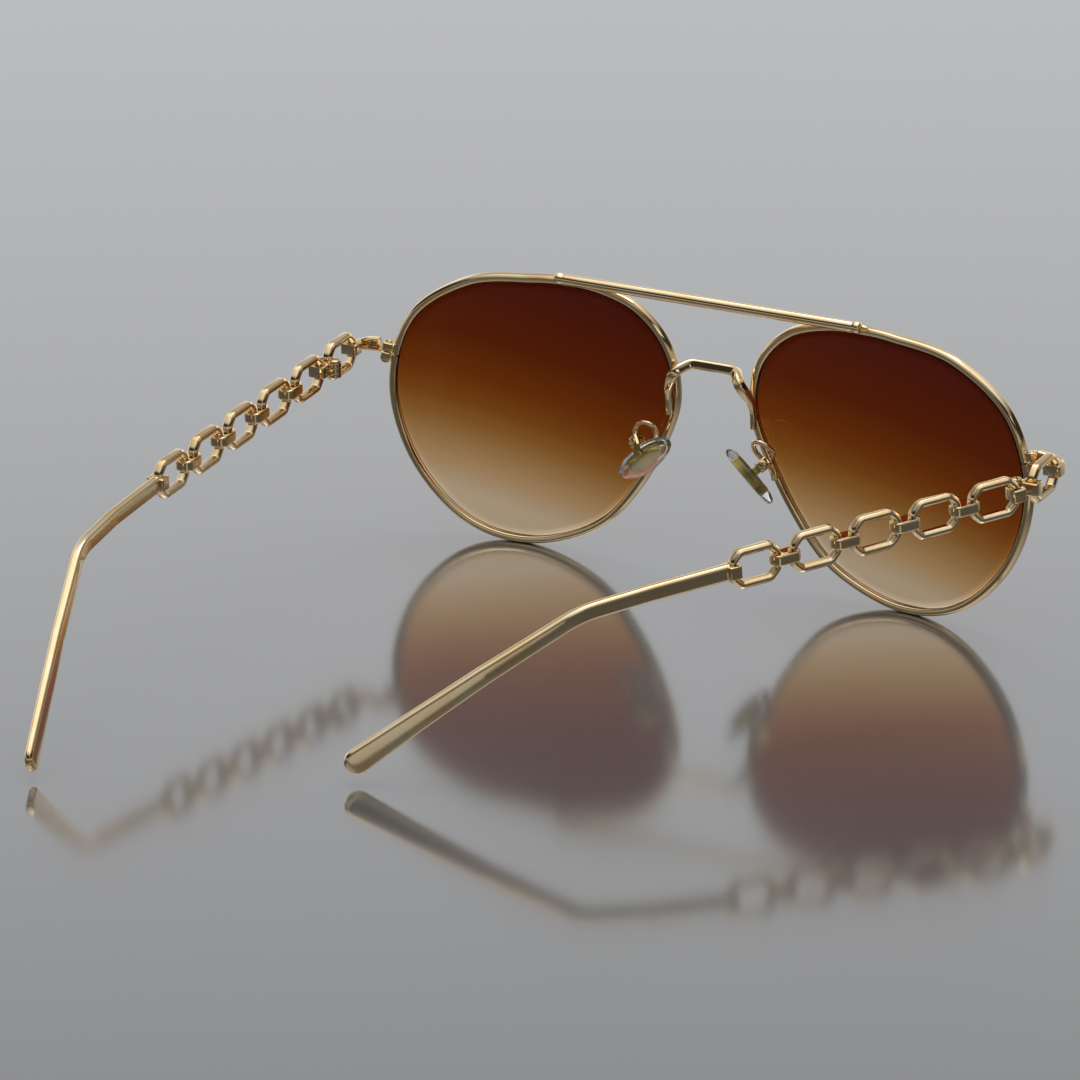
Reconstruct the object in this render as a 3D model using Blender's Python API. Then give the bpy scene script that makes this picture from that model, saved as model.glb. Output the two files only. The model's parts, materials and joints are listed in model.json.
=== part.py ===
import math

import bmesh
import bpy
from mathutils import Matrix, Vector

# Metal sunglasses with chain temples. Lengths below are in millimetres, +Y points from the
# lenses to the temple tips, +X is the wearer's left.
unit = 0.001

# clearances
solderGap = 0.15
seatGap = 0.12
hingePlay = 0.08
slitWidth = 0.3

# eye rims and lenses
rimHalfWidth = 30.4
rimHalfHeight = 27.55
noseHalfGap = 7.55
eyeCentreX = rimHalfWidth + noseHalfGap
lensVertexY = -2.2
baseRadius = 150.0
wrapAngle = math.radians(4.6)
tiltAngle = math.radians(1.35)
rimRadial = 1.4
rimAxial = 1.9
grooveDepth = 0.75
grooveWidth = 0.95
lensThickness = 1.7
flangeThickness = 0.6
rimStations = 50
slitAboveMiddle = 7.55

# brow bar, laid behind the rim tops
browHalfLength = eyeCentreX - 5.75
browRadius = 1.05
browBehind = 2.047
browAbove = 0.37

# bridge strip
bridgeHeight = 1.9
bridgeDepth = 1.8
legHalfTall = 0.52
legHalfDeep = 0.62

# end pieces and rim locks
lockRadial = 1.9
lockTall = 1.7
lockDepth = 2.1
lockScrewRadius = 0.45
strapThickness = 1.5
strapHeight = 2.7

# chain
linkPitch = 12.69
linkLength = 10.7
linkHeight = 7.65
linkDepth = 2.0
linkBar = 1.25
linkCutLong = 2.2
linkCutTall = 2.3
chainFromLock = (6.7797, 8.6968, 0.5876)
pinInward = 2.52
pinForward = 0.145
chainYaw = math.radians(0.47)
chainDrop = math.radians(3.66)
bandWall = 0.55
bandDepth = 3.5
bandHeight = 2.0
hingeHeight = 2.9
collarHeight = 2.4
knuckleRadius = 1.3
pinRadius = 0.5

# temple arm; its bends are measured from the last link bar
armBends = [(-0.592, 16.796, -1.328), (-1.692, 30.296, -3.028), (-7.092, 46.796, -13.128),
            (-11.092, 58.296, -20.828), (-15.292, 70.196, -29.028)]
armThickness = 1.9
armHeight = 3.1
tipThickness = 1.5
tipHeight = 5.2

# nose pads, placed from the foot of the pad arm on the rim
padFromFoot = (-2.0, 6.3, 2.4)
padLength = 13.2
padWidth = 7.0
padThickness = 2.2
coreLength = 8.0
coreWidth = 3.8
coreThickness = 0.6
stemWidth = 1.0
stemShift = 0.8
boxSize = 2.6
armWireRadius = 0.5

# fold of each temple in the rest pose, degrees inward
leftFold = 0.0
rightFold = 31.4

for old in list(bpy.data.objects):
    bpy.data.objects.remove(old, do_unlink=True)


def material(name, colour, rough, metal, alpha=1.0):
    mat = bpy.data.materials.new(name)
    mat.use_nodes = True
    shader = mat.node_tree.nodes["Principled BSDF"]
    shader.inputs["Base Color"].default_value = (*colour, 1.0)
    shader.inputs["Roughness"].default_value = rough
    shader.inputs["Metallic"].default_value = metal
    shader.inputs["Alpha"].default_value = alpha
    return mat


gold = material("polished_gold", (0.83, 0.62, 0.34), 0.12, 1.0)
screwGold = material("screw_gold", (0.72, 0.52, 0.27), 0.22, 1.0)
tint = material("brown_lens", (0.22, 0.09, 0.03), 0.05, 0.0, 0.75)
silicone = material("clear_silicone", (0.86, 0.84, 0.80), 0.1, 0.0, 0.5)

root = bpy.data.objects.new("sunglasses", None)
bpy.context.collection.objects.link(root)


def emptyAt(name, place, turn=0.0):
    helper = bpy.data.objects.new(name, None)
    bpy.context.collection.objects.link(helper)
    helper.parent = root
    helper.location = Vector(place) * unit
    helper.rotation_euler = (0.0, 0.0, turn)
    return helper


def closedMesh(rings, loop=False):
    """Skin a row of equal rings; a row that is not a loop gets an end cap at each end."""
    bm = bmesh.new()
    rows = [[bm.verts.new(p) for p in ring] for ring in rings]
    count = len(rows[0])
    pairs = list(zip(rows, rows[1:]))
    if loop:
        pairs.append((rows[-1], rows[0]))
    for a, b in pairs:
        for k in range(count):
            bm.faces.new((a[k], a[(k + 1) % count], b[(k + 1) % count], b[k]))
    if not loop:
        bm.faces.new(rows[0])
        bm.faces.new(rows[-1])
    bmesh.ops.recalc_face_normals(bm, faces=bm.faces)
    mesh = bpy.data.meshes.new("mesh")
    bm.to_mesh(mesh)
    bm.free()
    return mesh


def looseObject(mesh):
    obj = bpy.data.objects.new("loose", mesh)
    bpy.context.collection.objects.link(obj)
    return obj


def combine(mesh, others, operation):
    """Join to or cut from a mesh every one of the other meshes."""
    base = looseObject(mesh)
    for other in others:
        tool = looseObject(other)
        tool.hide_render = True
        tool.display_type = "WIRE"
        mod = base.modifiers.new("solid", "BOOLEAN")
        mod.operation = operation
        mod.solver = "EXACT"
        mod.object = tool
        graph = bpy.context.evaluated_depsgraph_get()
        base.data = bpy.data.meshes.new_from_object(base.evaluated_get(graph))
        base.modifiers.clear()
        bpy.data.objects.remove(tool, do_unlink=True)
    result = base.data
    bpy.data.objects.remove(base, do_unlink=True)
    return result


def addPart(name, mesh, mat, pivot=None, parent=None):
    """Mesh is in millimetres in the open pose; the origin goes to the pivot or its own middle."""
    if pivot is None:
        low = [min(v.co[k] for v in mesh.vertices) for k in range(3)]
        high = [max(v.co[k] for v in mesh.vertices) for k in range(3)]
        pivot = [(a + b) / 2 for a, b in zip(low, high)]
    mesh.transform(Matrix.Scale(unit, 4) @ Matrix.Translation(-Vector(pivot)))
    mesh.name = name
    mesh.materials.clear()
    mesh.materials.append(mat)
    for face in mesh.polygons:
        face.material_index = 0
    mesh.shade_smooth()
    mesh.set_sharp_from_angle(angle=math.radians(32))
    obj = bpy.data.objects.new(name, mesh)
    bpy.context.collection.objects.link(obj)
    if parent is None:
        obj.parent = root
        obj.location = Vector(pivot) * unit
    else:
        obj.parent = parent
        obj.location = Vector(pivot) * unit - anchors[parent.name] * unit
    return obj


def rounded(points, radius, steps=3):
    """Open path through the points with every inner corner rounded."""
    out = [Vector(points[0])]
    for a, b, c in zip(points, points[1:], points[2:]):
        a, b, c = Vector(a), Vector(b), Vector(c)
        into, away = a - b, c - b
        turn = math.pi - into.angle(away)
        reach = min(radius * math.tan(turn / 2), 0.46 * into.length, 0.46 * away.length)
        p, q = b + into.normalized() * reach, b + away.normalized() * reach
        for k in range(steps + 1):
            t = k / steps
            out.append(p * (1 - t) ** 2 + b * 2 * t * (1 - t) + q * t * t)
    out.append(Vector(points[-1]))
    return out


def tangents(path):
    ends = [path[0]] + list(path) + [path[-1]]
    return [(c - a).normalized() for a, c in zip(ends, ends[2:])]


def carried(path, up):
    """Section axes carried along a path without twist."""
    up = Vector(up)
    frames = []
    for tangent in tangents(path):
        up = (up - tangent * up.dot(tangent)).normalized()
        frames.append((up, tangent.cross(up)))
    return frames


def swept(path, up, sections):
    """Sweep; each section is a list of (up, side) offsets."""
    rings = []
    for point, (high, side), section in zip(path, carried(path, up), sections):
        rings.append([point + high * a + side * b for a, b in section])
    return rings


def circle(radius, count=12):
    return [(radius * math.cos(2 * math.pi * k / count),
             radius * math.sin(2 * math.pi * k / count)) for k in range(count)]


def chamfered(halfA, halfB, cut):
    return [(halfA, halfB - cut), (halfA - cut, halfB), (cut - halfA, halfB), (-halfA, halfB - cut),
            (-halfA, cut - halfB), (cut - halfA, -halfB), (halfA - cut, -halfB), (halfA, cut - halfB)]


def roundedRect(halfA, halfB, radius, steps=3):
    out = []
    for corner, (sa, sb) in enumerate(((1, 1), (-1, 1), (-1, -1), (1, -1))):
        for k in range(steps + 1):
            angle = math.pi / 2 * (corner + k / steps)
            out.append((sa * (halfA - radius) + radius * math.cos(angle),
                        sb * (halfB - radius) + radius * math.sin(angle)))
    return out


def cylinder(start, end, radius, count=16):
    start, end = Vector(start), Vector(end)
    axis = (end - start).normalized()
    up = axis.orthogonal()
    return closedMesh(swept([start, end], up, [circle(radius, count)] * 2))


def turned(start, axis, stations, count=16):
    """Round body: stations are (distance along the axis, radius)."""
    start, axis = Vector(start), Vector(axis).normalized()
    path = [start + axis * d for d, r in stations]
    up = axis.orthogonal().normalized()
    side = axis.cross(up)
    return closedMesh([[p + up * a + side * b for a, b in circle(r, count)]
                       for p, (d, r) in zip(path, stations)])


def brick(centre, axes, halves):
    """Box from its centre, three unit axes and half sizes."""
    centre = Vector(centre)
    a, b, c = (axis * half for axis, half in zip(axes, halves))
    square = ((1, 1), (-1, 1), (-1, -1), (1, -1))
    return closedMesh([[centre + a * s + b * t + c * w for s, t in square] for w in (-1, 1)])


def mirrored(side, point):
    return Vector((point[0] * side, point[1], point[2]))


# rim outline, as shares of the half width and half height
outlineControl = [(1.0, 0.05), (0.856, 0.591), (0.457, 0.906), (0.017, 0.986), (-0.21, 1.0),
                  (-0.464, 0.983), (-0.727, 0.884), (-0.924, 0.658), (-1.0, 0.355), (-0.957, 0.048),
                  (-0.737, -0.44), (-0.428, -0.817), (0.05, -1.0), (0.503, -0.898), (0.859, -0.499)]


def outline():
    """Even steps along the closed outline, starting and ending beside the slit."""
    fine = []
    count = len(outlineControl)
    for k in range(count):
        a, b, c, d = (Vector(outlineControl[(k + j) % count]) for j in (-1, 0, 1, 2))
        for step in range(24):
            t = step / 24
            spot = 0.5 * (2 * b + (c - a) * t + (2 * a - 5 * b + 4 * c - d) * t * t
                          + (3 * b - a - 3 * c + d) * t ** 3)
            fine.append(Vector((spot.x * rimHalfWidth, spot.y * rimHalfHeight)))
    first = next(k for k, p in enumerate(fine) if p.x > 0 and p.y > slitAboveMiddle)
    fine = fine[first:] + fine[:first + 1]
    lengths = [0.0]
    for p, q in zip(fine, fine[1:]):
        lengths.append(lengths[-1] + (q - p).length)
    out = []
    for k in range(rimStations):
        want = slitWidth / 2 + (lengths[-1] - slitWidth) * k / (rimStations - 1)
        at = next(j for j in range(1, len(lengths)) if lengths[j] >= want)
        share = (want - lengths[at - 1]) / (lengths[at] - lengths[at - 1])
        out.append(fine[at - 1].lerp(fine[at], share))
    return out


rimLine = outline()


def outwardNormals(points):
    count = len(points)
    out = []
    for k in range(count):
        step = points[(k + 1) % count] - points[k - 1]
        out.append(Vector((step.y, -step.x)).normalized())
    return out


rimNormals = outwardNormals(rimLine)
rimNormals[0] = rimNormals[-1] = (rimNormals[1] + rimNormals[-2]).normalized()
eyeU = Vector((math.cos(wrapAngle), math.sin(wrapAngle), 0))
flatW = Vector((-math.sin(wrapAngle), math.cos(wrapAngle), 0))
eyeV = Vector((0, 0, 1)) * math.cos(tiltAngle) + flatW * math.sin(tiltAngle)
eyeW = flatW * math.cos(tiltAngle) - Vector((0, 0, 1)) * math.sin(tiltAngle)
eyeCentre = Vector((eyeCentreX, lensVertexY, rimHalfHeight))


def onLens(side, spot, lift):
    """Point of the lens surface at a flat spot, lifted along the surface normal."""
    u, v = spot
    normal = Vector((-u / baseRadius, -v / baseRadius, 1)).normalized()
    sag = (u * u + v * v) / (2 * baseRadius)
    place = (eyeCentre + eyeU * (u + normal.x * lift) + eyeV * (v + normal.y * lift)
             + eyeW * (sag + normal.z * lift))
    return mirrored(side, place)


def rimSpot(u, v, lift):
    """Left-hand point by its shares of the rim half width and half height."""
    return onLens(1, (u * rimHalfWidth, v * rimHalfHeight), lift)


def rimRing(side, index, section):
    return [onLens(side, rimLine[index] + rimNormals[index] * a, b) for a, b in section]


halfAxial = rimAxial / 2
rimSection = [(0.0, -0.5), (0.0, 0.5), (-0.4, halfAxial),
              (0.25 - rimRadial, halfAxial), (-rimRadial, halfAxial - 0.22),
              (-rimRadial, grooveWidth / 2), (grooveDepth - rimRadial, grooveWidth / 2 - 0.07),
              (grooveDepth - rimRadial, 0.07 - grooveWidth / 2), (-rimRadial, -grooveWidth / 2),
              (-rimRadial, 0.22 - halfAxial), (0.25 - rimRadial, -halfAxial), (-0.4, -halfAxial)]


def buildRim(side):
    return closedMesh([rimRing(side, k, rimSection) for k in range(rimStations)])


def buildLens(side):
    edge = -rimRadial - seatGap
    tip = grooveDepth - rimRadial - 0.2
    half = lensThickness / 2
    flange = flangeThickness / 2
    rim = [(edge, half), (edge, flange), (tip, flange - 0.08), (tip, 0.08 - flange), (edge, -flange),
           (edge, -half)]
    bm = bmesh.new()
    rows = []
    for share in (0.0, 0.6):
        if share == 0.0:
            rows.append([bm.verts.new(onLens(side, (0, 0), half))])
            continue
        rows.append([bm.verts.new(onLens(side, (p + n * edge) * share, half))
                     for p, n in zip(rimLine, rimNormals)])
    for a, b in rim:
        rows.append([bm.verts.new(onLens(side, p + n * a, b)) for p, n in zip(rimLine, rimNormals)])
    for share in (0.6, 0.0):
        if share == 0.0:
            rows.append([bm.verts.new(onLens(side, (0, 0), -half))])
            continue
        rows.append([bm.verts.new(onLens(side, (p + n * edge) * share, -half))
                     for p, n in zip(rimLine, rimNormals)])
    for a, b in zip(rows, rows[1:]):
        for k in range(rimStations):
            j = (k + 1) % rimStations
            corners = [a[k % len(a)], a[j % len(a)], b[j % len(b)], b[k % len(b)]]
            bm.faces.new(list(dict.fromkeys(corners)))
    bmesh.ops.recalc_face_normals(bm, faces=bm.faces)
    mesh = bpy.data.meshes.new("lens")
    bm.to_mesh(mesh)
    bm.free()
    return mesh


def buildBrowBar():
    stations = [(-browHalfLength, 0.45), (0.18 - browHalfLength, 0.85), (0.6 - browHalfLength, 1.16),
                (1.25 - browHalfLength, 1.16), (1.75 - browHalfLength, 0.98), (2.4 - browHalfLength, browRadius)]
    stations += [(-d, r) for d, r in reversed(stations)]
    rimTop = rimSpot(-0.2, 1.0, 0)
    return turned((0, rimTop.y + browBehind, rimTop.z + browAbove), (1, 0, 0), stations, 14)


def buildBridge():
    right = [rimSpot(-1.08102, 0.51853, -0.1678), rimSpot(-1.02870, 0.49382, 3.677),
             rimSpot(-0.96404, 0.35012, 2.5374), rimSpot(-0.95642, 0.25657, 2.1099),
             rimSpot(-0.95668, 0.14223, 2.0449)]
    legTop = right[2].z - 1.7
    corners = [(-x, y, z) for x, y, z in reversed(right)] + right
    path = rounded(corners, 1.0, 2)
    start = Vector((1, 0, 0))
    full = chamfered(bridgeHeight / 2, bridgeDepth / 2, 0.25)
    leg = chamfered(legHalfTall, legHalfDeep, 0.2)
    sections = []
    for point in path:
        share = min(1.0, max(0.0, (point.z - legTop) / 4.0))
        sections.append([(a * share + c * (1 - share), b * share + d * (1 - share))
                         for (a, b), (c, d) in zip(full, leg)])
    return closedMesh(swept(path, start, sections))


# closing block of each rim
slitSpot = (rimLine[0] + rimLine[-1]) / 2
slitOut = rimNormals[0]
slitAlong = Vector((-slitOut.y, slitOut.x))
if slitAlong.y < 0:
    slitAlong = -slitAlong


def lockAxes(side):
    here = onLens(side, slitSpot, 0)
    out = (onLens(side, slitSpot + slitOut, 0) - here).normalized()
    along = (onLens(side, slitSpot + slitAlong, 0) - here).normalized()
    return here, out, along, out.cross(along).normalized()


def buildLock(side, upper):
    here, out, along, across = lockAxes(side)
    sign = 1 if upper else -1
    centre = here + out * (solderGap + lockRadial / 2) + along * sign * (slitWidth + lockTall) / 2
    block = closedMesh([[centre + out * a + across * b + along * w for a, b in
                         chamfered(lockRadial / 2 - inset, lockDepth / 2 - inset, 0.3)]
                        for w, inset in ((-lockTall / 2, 0.12), (0.12 - lockTall / 2, 0.0),
                                         (lockTall / 2 - 0.12, 0.0), (lockTall / 2, 0.12))])
    hole = cylinder(centre - along * 3, centre + along * 3, lockScrewRadius + seatGap)
    return combine(block, [hole], "DIFFERENCE")


def buildLockScrew(side):
    here, out, along, across = lockAxes(side)
    low = -slitWidth / 2 - lockTall - seatGap
    foot = here + out * (solderGap + lockRadial / 2)
    head = 0.78
    stations = [(low - 0.5, head - 0.25), (low - 0.3, head), (low, head), (low, lockScrewRadius),
                (slitWidth / 2 + lockTall - 0.2, lockScrewRadius),
                (slitWidth / 2 + lockTall, lockScrewRadius - 0.15)]
    body = turned(foot, along, stations, 14)
    slot = brick(foot + along * (low - 0.5), (out, across, along), (1.2, 0.13, 0.25))
    return combine(body, [slot], "DIFFERENCE")


# chain frame
chainD = Vector((-math.sin(chainYaw) * math.cos(chainDrop), math.cos(chainYaw) * math.cos(chainDrop),
                 -math.sin(chainDrop)))
chainN = Vector((math.cos(chainYaw), math.sin(chainYaw), 0))
chainH = chainN.cross(chainD)
chainStart = onLens(1, slitSpot, 0) + Vector(chainFromLock)
hingeX = chainStart.x - pinInward
hingeY = chainStart.y + linkPitch / 2 - pinForward


def onChain(side, s, n, h):
    return mirrored(side, chainStart + chainD * s + chainN * n + chainH * h)


def prism(side, middle, outlineSN, half, bevel, centreH=0.0):
    """Upright block on the chain: an outline in the (along, across) plane, bevelled top and bottom."""
    rings = []
    for h, inset in ((-half, bevel), (bevel - half, 0.0), (half - bevel, 0.0), (half, bevel)):
        ring = []
        for s, n in outlineSN:
            reach = math.hypot(s, n)
            grow = (reach - inset) / reach
            ring.append(onChain(side, middle + s * grow, n * grow, centreH + h))
        rings.append(ring)
    return closedMesh(rings)


def barSlot(side, s):
    """Opening for one end bar of a link."""
    halfA, halfB = linkBar / 2 + seatGap, linkDepth / 2 + seatGap
    ring = [(halfA, halfB), (-halfA, halfB), (-halfA, -halfB), (halfA, -halfB)]
    return closedMesh([[onChain(side, s + a, b, h) for a, b in ring] for h in (-4, 4)])


barReach = linkLength / 2 - linkBar / 2
bandReach = linkBar / 2 + seatGap + bandWall


def buildLink(side, s):
    halfL, halfH, halfD = linkLength / 2, linkHeight / 2, linkDepth / 2
    ring = []
    for sx, sh in ((1, 1), (-1, 1), (-1, -1), (1, -1)):
        cut = [((halfL, halfH - linkCutTall), (halfL - linkBar, halfH - linkBar - 1.05)),
               ((halfL - linkCutLong, halfH), (halfL - linkBar - 1.1, halfH - linkBar))]
        if sx * sh < 0:
            cut.reverse()
        ring += [((o[0] * sx, o[1] * sh), (i[0] * sx, i[1] * sh)) for o, i in cut]
    soft = []
    for k, (o, i) in enumerate(ring):
        for j, share in ((k - 1, 0.16), ((k + 1) % len(ring), 0.16)):
            oo, ii = ring[j]
            soft.append((Vector(o).lerp(Vector(oo), share), Vector(i).lerp(Vector(ii), share)))
    section = [(0.0, -halfD * 0.62), (0.0, halfD * 0.62), (0.45, halfD), (1.0, halfD * 0.55),
               (1.0, -halfD * 0.55), (0.45, -halfD)]
    rings = []
    for o, i in soft:
        rings.append([onChain(side, s + o.lerp(i, a).x, b, o.lerp(i, a).y) for a, b in section])
    return closedMesh(rings, loop=True)


def buildBand(side, s):
    """Block that carries the end bars of two neighbouring links."""
    gapHalf = linkPitch / 2 - barReach
    outer = roundedRect(gapHalf + bandReach, bandDepth / 2, 1.0)
    block = prism(side, s, outer, bandHeight / 2, 0.18)
    return combine(block, [barSlot(side, s - gapHalf), barSlot(side, s + gapHalf)], "DIFFERENCE")


def hingeSpot(side):
    return Vector((hingeX * side, hingeY, chainStart.z - (hingeY - chainStart.y) * math.tan(chainDrop)))


knuckle = hingeHeight / 3


def buildHinge(side, front):
    """Hinge half: a block round one end bar with its knuckles on the inner side."""
    middle = linkPitch / 2
    bar = barReach if front else linkPitch - barReach
    sign = 1 if front else -1
    near = middle - sign * 0.12
    far = bar - sign * bandReach
    half = abs(near - far) / 2
    block = prism(side, (near + far) / 2, roundedRect(half, bandDepth / 2, 0.45, 2), collarHeight / 2, 0.15)
    spot = hingeSpot(side)
    up = Vector((0, 0, 1))
    inward = Vector((-side, 0, 0))
    along = Vector((0, 1, 0))
    if front:
        spans = [(-1.5 * knuckle, -0.5 * knuckle - hingePlay), (0.5 * knuckle + hingePlay, 1.5 * knuckle)]
        clear = [(-0.5 * knuckle - hingePlay, 0.5 * knuckle + hingePlay)]
    else:
        spans = [(-0.5 * knuckle, 0.5 * knuckle)]
        clear = [(-2.0, -0.5 * knuckle), (0.5 * knuckle, 2.0)]
    parts = []
    for low, high in spans:
        parts.append(cylinder(spot + up * low, spot + up * high, knuckleRadius, 20))
        reach = pinInward - bandDepth / 2 + 0.35
        lug = spot - inward * reach / 2 - along * sign * (knuckleRadius + 0.12) / 2 + up * (low + high) / 2
        parts.append(brick(lug, (inward, along, up),
                           (reach / 2, (knuckleRadius - 0.12) / 2, (high - low) / 2 - 0.04)))
    cuts = [cylinder(spot + up * low, spot + up * high, knuckleRadius + 0.1, 20) for low, high in clear]
    body = combine(block, cuts, "DIFFERENCE")
    body = combine(body, parts, "UNION")
    bore = cylinder(spot - up * 4, spot + up * 4, pinRadius + hingePlay, 16)
    return combine(body, [barSlot(side, bar), bore], "DIFFERENCE")


def buildHingeScrew(side):
    spot = hingeSpot(side)
    top = 1.5 * knuckle + hingePlay
    stations = [(-1.5 * knuckle, pinRadius - 0.12), (0.15 - 1.5 * knuckle, pinRadius), (top, pinRadius),
                (top, 1.12), (top + 0.2, 1.12), (top + 0.42, 0.9), (top + 0.5, 0.5)]
    body = turned(spot, (0, 0, 1), stations, 18)
    axes = (Vector((0.6, 0.8, 0)), Vector((-0.8, 0.6, 0)), Vector((0, 0, 1)))
    slot = brick(spot + Vector((0, 0, top + 0.5)), axes, (1.4, 0.16, 0.28))
    return combine(body, [slot], "DIFFERENCE")


def buildEndpiece(side):
    """Strap from the upper rim lock, round the corner, to a band on the first link."""
    bar = -barReach
    band = prism(side, bar, roundedRect(bandReach, bandDepth / 2, 0.45, 2), bandHeight / 2 + 0.1, 0.15)
    here, out, along, across = lockAxes(1)
    begin = here + out * (2 * solderGap + lockRadial + 0.45) + along * (slitWidth / 2 + lockTall / 2 + 0.1)
    corner = onChain(1, bar - bandReach - 0.2, 0.2, -0.2)
    path = rounded([begin, begin + Vector((2.6, 0.1, -0.2)), corner + Vector((-0.5, -1.9, -0.15)), corner,
                    onChain(1, bar - 0.75, 0.2, -0.1)], 2.0, 3)
    path = [mirrored(side, p) for p in path]
    thick = chamfered(strapHeight / 2, strapThickness / 2, 0.3)
    slim = chamfered(bandHeight / 2, strapThickness / 2, 0.25)
    sections = []
    for k in range(len(path)):
        share = k / (len(path) - 1)
        sections.append([(a * (1 - share) + c * share, b * (1 - share) + d * share)
                         for (a, b), (c, d) in zip(thick, slim)])
    strap = closedMesh(swept(path, (0, 0, 1), sections))
    return combine(combine(band, [strap], "UNION"), [barSlot(side, bar)], "DIFFERENCE")


def buildArm(side):
    """Temple arm: band on the last link, wire, downward bend and flat paddle tip."""
    bar = 5 * linkPitch + barReach
    band = prism(side, bar, roundedRect(bandReach, bandDepth / 2, 0.45, 2), collarHeight / 2, 0.15)
    begin = onChain(1, bar + 0.8, 0.0, 0.0)
    lastBar = onChain(1, bar, 0.0, 0.0)
    path = rounded([begin] + [lastBar + Vector(bend) for bend in armBends], 14.0, 5)
    lengths = [0.0]
    for p, q in zip(path, path[1:]):
        lengths.append(lengths[-1] + (q - p).length)
    total = lengths[-1]
    half = tipHeight / 2
    spots = [d for d in lengths if d < total - half * 1.3]
    spots += [total - half * share for share in (1.0, 0.55, 0.25, 0.08, 0.0)]
    stations = []
    for d in spots:
        at = max(j for j in range(len(lengths) - 1) if lengths[j] <= d + 1e-9)
        share = (d - lengths[at]) / (lengths[at + 1] - lengths[at])
        stations.append((d, mirrored(side, path[at].lerp(path[at + 1], share))))
    sections = []
    for d, point in stations:
        share = max(0.0, (d / total - 0.35) / 0.65) ** 1.8
        high = (armHeight + (tipHeight - armHeight) * share) / 2
        thick = (armThickness + (tipThickness - armThickness) * share) / 2
        left = (total - d) / half
        if left < 1.0:
            high *= math.sqrt(1 - (1 - left) ** 2) * 0.86 + 0.14
            thick *= 0.72 + 0.28 * min(1.0, left * 3)
        cut = min(0.42, high * 0.4)
        sections.append([(a, b) for a, b in chamfered(high, thick, cut)])
    wire = closedMesh(swept([p for d, p in stations], (0, 0, 1), sections))
    return combine(combine(band, [wire], "UNION"), [barSlot(side, bar)], "DIFFERENCE")


# nose pads
padAlong = Vector((0.69, -0.07, -0.72)).normalized()
padAcross = Vector((0.447, 0.827, 0.342))
padAcross = (padAcross - padAlong * padAcross.dot(padAlong)).normalized()
padFace = padAcross.cross(padAlong)
armFoot = rimSpot(-0.82296, -0.21885, 1.805)
padCentre = armFoot + Vector(padFromFoot)
screwSpot = padCentre - padFace * 3.1 + padAcross * stemShift


def onPad(side, a, b, c):
    """a along the pad, b across it, c toward the wearer's nose."""
    return mirrored(side, padCentre + padAlong * a + padAcross * b + padFace * c)


def padOutline(halfA, halfB, count=22):
    out = []
    for k in range(count):
        angle = 2 * math.pi * k / count
        x = math.copysign(abs(math.cos(angle)) ** 0.85, math.cos(angle))
        y = math.copysign(abs(math.sin(angle)) ** 0.85, math.sin(angle))
        out.append((halfA * x, halfB * y * (1 + 0.12 * x)))
    return out


def buildPad(side):
    shape = padOutline(padLength / 2, padWidth / 2)
    half = padThickness / 2
    layers = ((-half, 0.72), (0.25 - half, 0.86), (-0.1, 0.97), (half * 0.45, 1.0), (half * 0.8, 0.9),
              (half, 0.66))
    body = closedMesh([[onPad(side, a * g, b * g, c) for a, b in shape] for c, g in layers])
    pocket = padOutline(coreLength / 2 + seatGap, coreWidth / 2 + seatGap, 18)
    top = 0.1 + coreThickness / 2 + seatGap
    cutter = closedMesh([[onPad(side, a, b, c) for a, b in pocket] for c in (-half - 1, top)])
    return combine(body, [cutter], "DIFFERENCE")


def buildCore(side):
    """Metal plate in the pad with the stem that stands in the box."""
    plate = padOutline(coreLength / 2, coreWidth / 2, 18)
    low, high = 0.1 - coreThickness / 2, 0.1 + coreThickness / 2
    body = closedMesh([[onPad(side, a, b, c) for a, b in plate] for c in (low, high)])
    reach = 3.1 + 0.75
    ring = chamfered(0.75, stemWidth / 2, 0.12)
    stem = closedMesh([[onPad(side, a, b + stemShift, c) for a, b in ring] for c in (-reach, 0.05)])
    body = combine(body, [stem], "UNION")
    axis = mirrored(side, padAcross)
    spot = mirrored(side, screwSpot)
    bore = cylinder(spot - axis * 3, spot + axis * 3, 0.4 + hingePlay, 12)
    return combine(body, [bore], "DIFFERENCE")


def buildBox(side):
    """Open-ended box on the pad arm; the stem of the pad stands between its cheeks."""
    half = boxSize / 2
    centre = screwSpot - padFace * 0.25
    ring = chamfered(half, half * 0.85, 0.3)
    body = closedMesh([[mirrored(side, centre + padAcross * (a * g) + padAlong * (b * g) + padFace * c)
                        for a, b in ring] for c, g in ((-half, 0.86), (0.2 - half, 1), (half - 0.2, 1),
                                                      (half, 0.9))])
    slot = closedMesh([[mirrored(side, screwSpot + padAcross * a * (stemWidth / 2 + 0.14)
                                 + padAlong * b * 3 + padFace * c)
                        for a, b in ((1, 1), (-1, 1), (-1, -1), (1, -1))] for c in (-0.95, 4)])
    axis = mirrored(side, padAcross)
    spot = mirrored(side, screwSpot)
    bore = cylinder(spot - axis * 3, spot + axis * 3, 0.4 + hingePlay, 12)
    return combine(body, [slot, bore], "DIFFERENCE")


def buildPadScrew(side):
    axis = mirrored(side, padAcross)
    spot = mirrored(side, screwSpot)
    half = boxSize / 2 + seatGap
    stations = [(-half, 0.3), (0.12 - half, 0.4), (half, 0.4), (half, 0.95), (half + 0.25, 0.95),
                (half + 0.42, 0.7)]
    body = turned(spot, axis, stations, 14)
    cross = axis.orthogonal().normalized()
    slot = brick(spot + axis * (half + 0.42), (cross, axis.cross(cross), axis), (1.2, 0.12, 0.22))
    return combine(body, [slot], "DIFFERENCE")


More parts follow.
